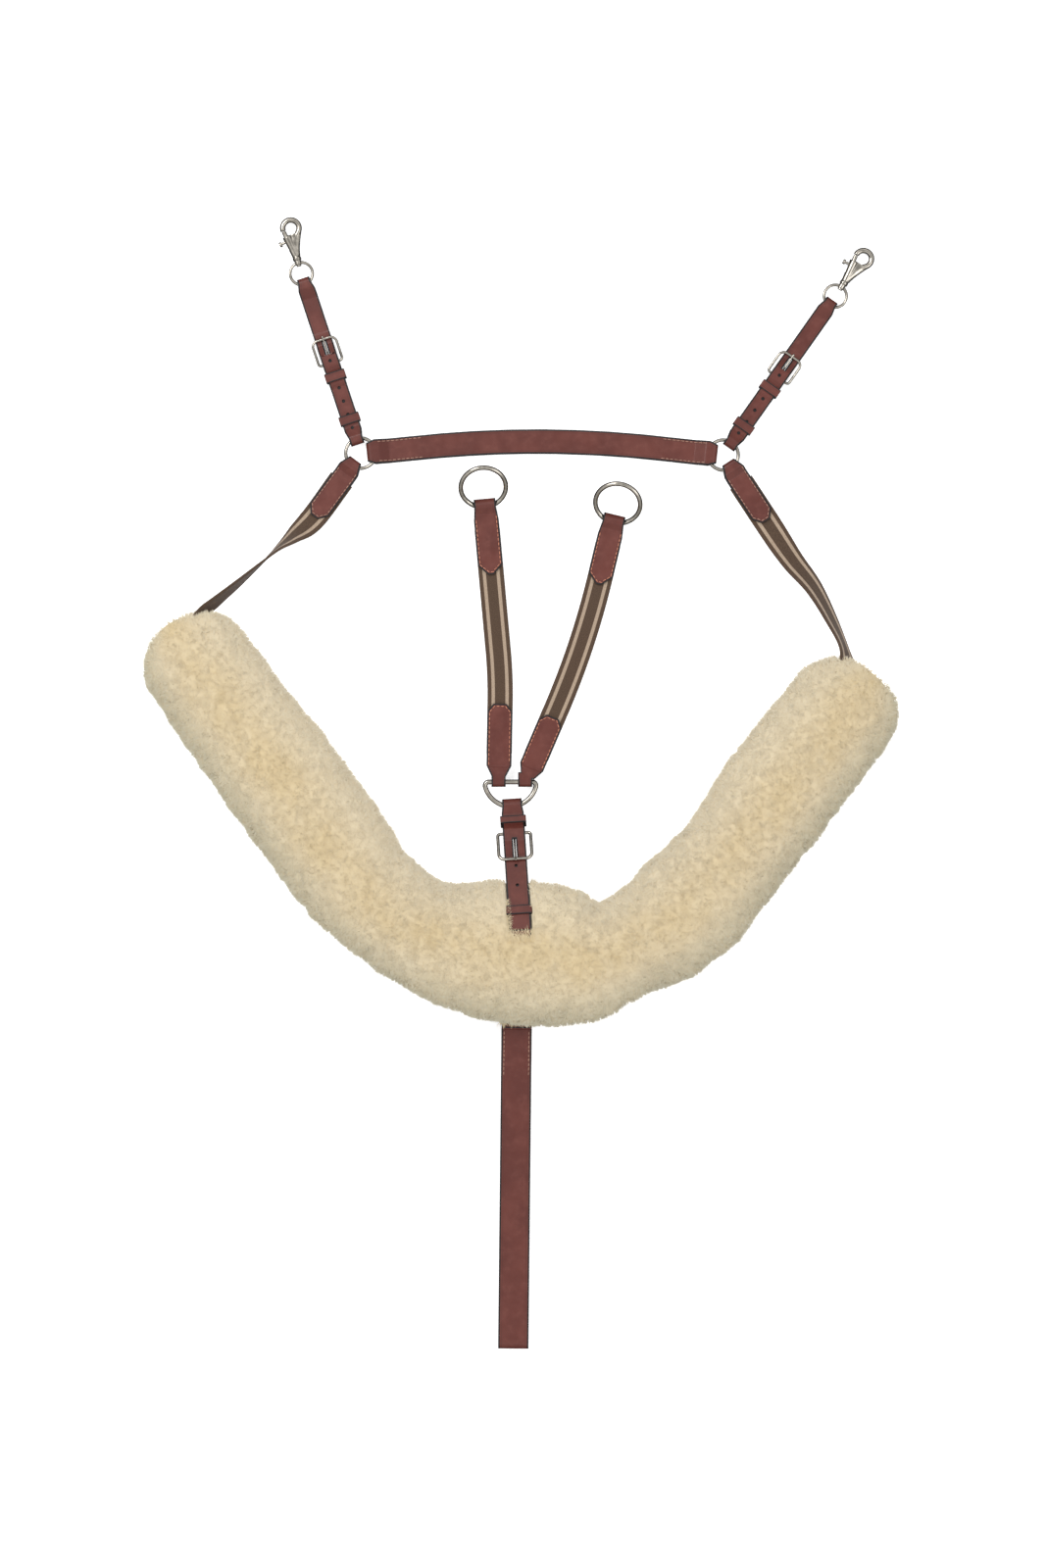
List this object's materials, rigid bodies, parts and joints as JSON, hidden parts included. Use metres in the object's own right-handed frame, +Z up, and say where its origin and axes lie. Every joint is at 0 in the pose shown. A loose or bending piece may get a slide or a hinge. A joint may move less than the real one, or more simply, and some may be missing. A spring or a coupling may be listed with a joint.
{
  "type": "breastplate",
  "caption": "Leather horse breastplate with a sheepskin-covered chest strap, elastic shoulder pieces, wither strap, snap-ended saddle straps, running martingale fork and girth strap",
  "frame": {"origin": "on the floor under the middle of the laid-out outline (bottom centre of the bounding box)", "axes": "+Z up from the floor, +Y from the girth strap's fold towards the saddle snaps, +X to the right seen from above"},
  "size_m": [0.6877, 1.0432, 0.064],
  "materials": {
    "sheepskin_wool": "dense tufted fleece, cream, greyer underneath",
    "leather": "smooth havana brown bridle leather with dark painted edges and orange-brown stitching",
    "striped_webbing": "woven elastic, brown with two tan stripes",
    "lining_web": "plain woven web",
    "closure_nylon": "hook-and-loop tape",
    "nickel": "polished nickel plate, finely worn",
    "spring_steel": "drawn wire"
  },
  "bodies": {
    "chest": {"sheepskin": "sheepskin_wool", "left_breast_strap": "lining_web", "right_breast_strap": "lining_web", "closure_strips": "closure_nylon", "centre_ring": "nickel", "left_elastic_end": "striped_webbing", "right_elastic_end": "striped_webbing", "fork_strap_anchor": "leather", "girth_strap_anchor": "leather"},
    "collar": {"wither_strap": "leather", "wither_lining": "leather", "left_top_ring": "nickel", "left_shoulder_tab": "leather", "left_shoulder_elastic": "striped_webbing", "right_top_ring": "nickel", "right_shoulder_tab": "leather", "right_shoulder_elastic": "striped_webbing"},
    "fork": {"fork_strap": "leather", "fork_buckle": "nickel", "fork_fixed_keeper": "leather"},
    "fork_keeper": {"fork_sliding_keeper": "leather"},
    "fork_buckle_tongue": {"fork_tongue": "nickel"},
    "d_ring": {"d_ring": "nickel"},
    "girth": {"girth_strap": "leather", "girth_chape": "leather", "girth_buckle": "nickel", "girth_keeper": "leather"},
    "girth_buckle_tongue": {"girth_tongue": "nickel"},
    "left_saddle": {"left_saddle_strap": "leather", "left_saddle_buckle": "nickel", "left_fixed_keeper": "leather"},
    "left_keeper": {"left_sliding_keeper": "leather"},
    "left_tongue": {"left_buckle_tongue": "nickel"},
    "left_swivel": {"left_swivel_ring": "nickel"},
    "left_snap": {"left_snap_body": "nickel", "left_swivel_pin": "nickel", "left_bolt_spring": "spring_steel"},
    "left_bolt": {"left_snap_bolt": "nickel"},
    "left_arm": {"left_lower_tab": "leather", "left_arm_elastic": "striped_webbing", "left_upper_tab": "leather"},
    "left_rein_ring": {"left_martingale_ring": "nickel"},
    "right_saddle": {"right_saddle_strap": "leather", "right_saddle_buckle": "nickel", "right_fixed_keeper": "leather"},
    "right_keeper": {"right_sliding_keeper": "leather"},
    "right_tongue": {"right_buckle_tongue": "nickel"},
    "right_swivel": {"right_swivel_ring": "nickel"},
    "right_snap": {"right_snap_body": "nickel", "right_swivel_pin": "nickel", "right_bolt_spring": "spring_steel"},
    "right_bolt": {"right_snap_bolt": "nickel"},
    "right_arm": {"right_lower_tab": "leather", "right_arm_elastic": "striped_webbing", "right_upper_tab": "leather"},
    "right_rein_ring": {"right_martingale_ring": "nickel"}
  },
  "joints": [
    {"name": "neck_fold", "type": "hinge", "parent": "chest", "child": "collar", "pos_m": [0.00365, 0.14375, 0.03], "axis": [0.9978, -0.0661, 0], "range_deg": [0, 90]},
    {"name": "left_strap_fold", "type": "hinge", "parent": "collar", "child": "left_saddle", "pos_m": [-0.15363, 0.31658, 0.0066], "axis": [0.9494, 0.314, 0], "range_deg": [0, 110]},
    {"name": "left_keeper_slide", "type": "slide", "parent": "left_saddle", "child": "left_keeper", "axis": [-0.314, 0.9494, 0], "range_m": [0, 0.024]},
    {"name": "left_tongue_lift", "type": "hinge", "parent": "left_saddle", "child": "left_tongue", "pos_m": [-0.17702, 0.38731, 0.0052], "axis": [0.9494, 0.314, 0], "range_deg": [0, 6]},
    {"name": "left_swivel_ring_swing", "type": "hinge", "parent": "left_saddle", "child": "left_swivel", "pos_m": [-0.20135, 0.46089, 0.0054], "axis": [0.9494, 0.314, 0], "range_deg": [-40, 40]},
    {"name": "left_snap_swivel", "type": "hinge", "parent": "left_swivel", "child": "left_snap", "pos_m": [-0.20785, 0.48179, 0.0054], "axis": [-0.284, 0.9588, 0], "continuous": true},
    {"name": "left_bolt_pull", "type": "slide", "parent": "left_snap", "child": "left_bolt", "axis": [0.4509, -0.8926, 0], "range_m": [0, 0.0065], "stiffness_N_per_m": 300, "springref_m": -0.006, "deforming": ["left_bolt_spring"]},
    {"name": "right_strap_fold", "type": "hinge", "parent": "collar", "child": "right_saddle", "pos_m": [0.19208, 0.31314, 0.0066], "axis": [0.8171, -0.5764, 0], "range_deg": [0, 110]},
    {"name": "right_keeper_slide", "type": "slide", "parent": "right_saddle", "child": "right_keeper", "axis": [0.5764, 0.8171, 0], "range_m": [0, 0.024]},
    {"name": "right_tongue_lift", "type": "hinge", "parent": "right_saddle", "child": "right_tongue", "pos_m": [0.23502, 0.37402, 0.0052], "axis": [0.8171, -0.5764, 0], "range_deg": [0, 6]},
    {"name": "right_swivel_ring_swing", "type": "hinge", "parent": "right_saddle", "child": "right_swivel", "pos_m": [0.28258, 0.44143, 0.0054], "axis": [0.8171, -0.5764, 0], "range_deg": [-40, 40]},
    {"name": "right_snap_swivel", "type": "hinge", "parent": "right_swivel", "child": "right_snap", "pos_m": [0.29487, 0.45954, 0.0054], "axis": [0.5505, 0.8348, 0], "continuous": true},
    {"name": "right_bolt_pull", "type": "slide", "parent": "right_snap", "child": "right_bolt", "axis": [-0.3923, -0.9198, 0], "range_m": [0, 0.0065], "stiffness_N_per_m": 300, "springref_m": -0.006, "deforming": ["right_bolt_spring"]},
    {"name": "fork_fold", "type": "hinge", "parent": "chest", "child": "fork", "pos_m": [-0.00253, -0.1322, 0.05742], "axis": [0.9978, 0.0663, 0], "range_deg": [0, 70]},
    {"name": "fork_keeper_slide", "type": "slide", "parent": "fork", "child": "fork_keeper", "axis": [-0.0596, 0.8968, -0.4384], "range_m": [0, 0.04]},
    {"name": "fork_tongue_lift", "type": "hinge", "parent": "fork", "child": "fork_buckle_tongue", "pos_m": [-0.00823, -0.04634, 0.01712], "axis": [-0.9978, -0.0663, 0], "range_deg": [0, 6]},
    {"name": "d_ring_swing", "type": "hinge", "parent": "fork", "child": "d_ring", "pos_m": [-0.00995, -0.02043, 0.0065], "axis": [0.9978, 0.0663, 0], "range_deg": [-60, 45]},
    {"name": "left_arm_fold", "type": "hinge", "parent": "d_ring", "child": "left_arm", "pos_m": [-0.0225, 0.001, 0.0065], "axis": [1, 0, 0], "range_deg": [0, 40]},
    {"name": "left_rein_ring_swing", "type": "hinge", "parent": "left_arm", "child": "left_rein_ring", "pos_m": [-0.03503, 0.25586, 0.0065], "axis": [0.9959, 0.0906, 0], "range_deg": [-30, 110]},
    {"name": "right_arm_fold", "type": "hinge", "parent": "d_ring", "child": "right_arm", "pos_m": [0.002, 0.001, 0.0065], "axis": [1, 0, 0], "range_deg": [0, 40]},
    {"name": "right_rein_ring_swing", "type": "hinge", "parent": "right_arm", "child": "right_rein_ring", "pos_m": [0.0834, 0.24141, 0.0065], "axis": [0.9728, -0.2317, 0], "range_deg": [-30, 110]},
    {"name": "girth_fold", "type": "hinge", "parent": "chest", "child": "girth", "pos_m": [-0.0059, -0.227, 0.015], "axis": [-0.9999, 0.0105, 0], "range_deg": [0, 60]},
    {"name": "girth_tongue_lift", "type": "hinge", "parent": "girth", "child": "girth_buckle_tongue", "pos_m": [-0.00668, -0.302, 0.0092], "axis": [0.9999, -0.0105, 0], "range_deg": [0, 6]}
  ]
}
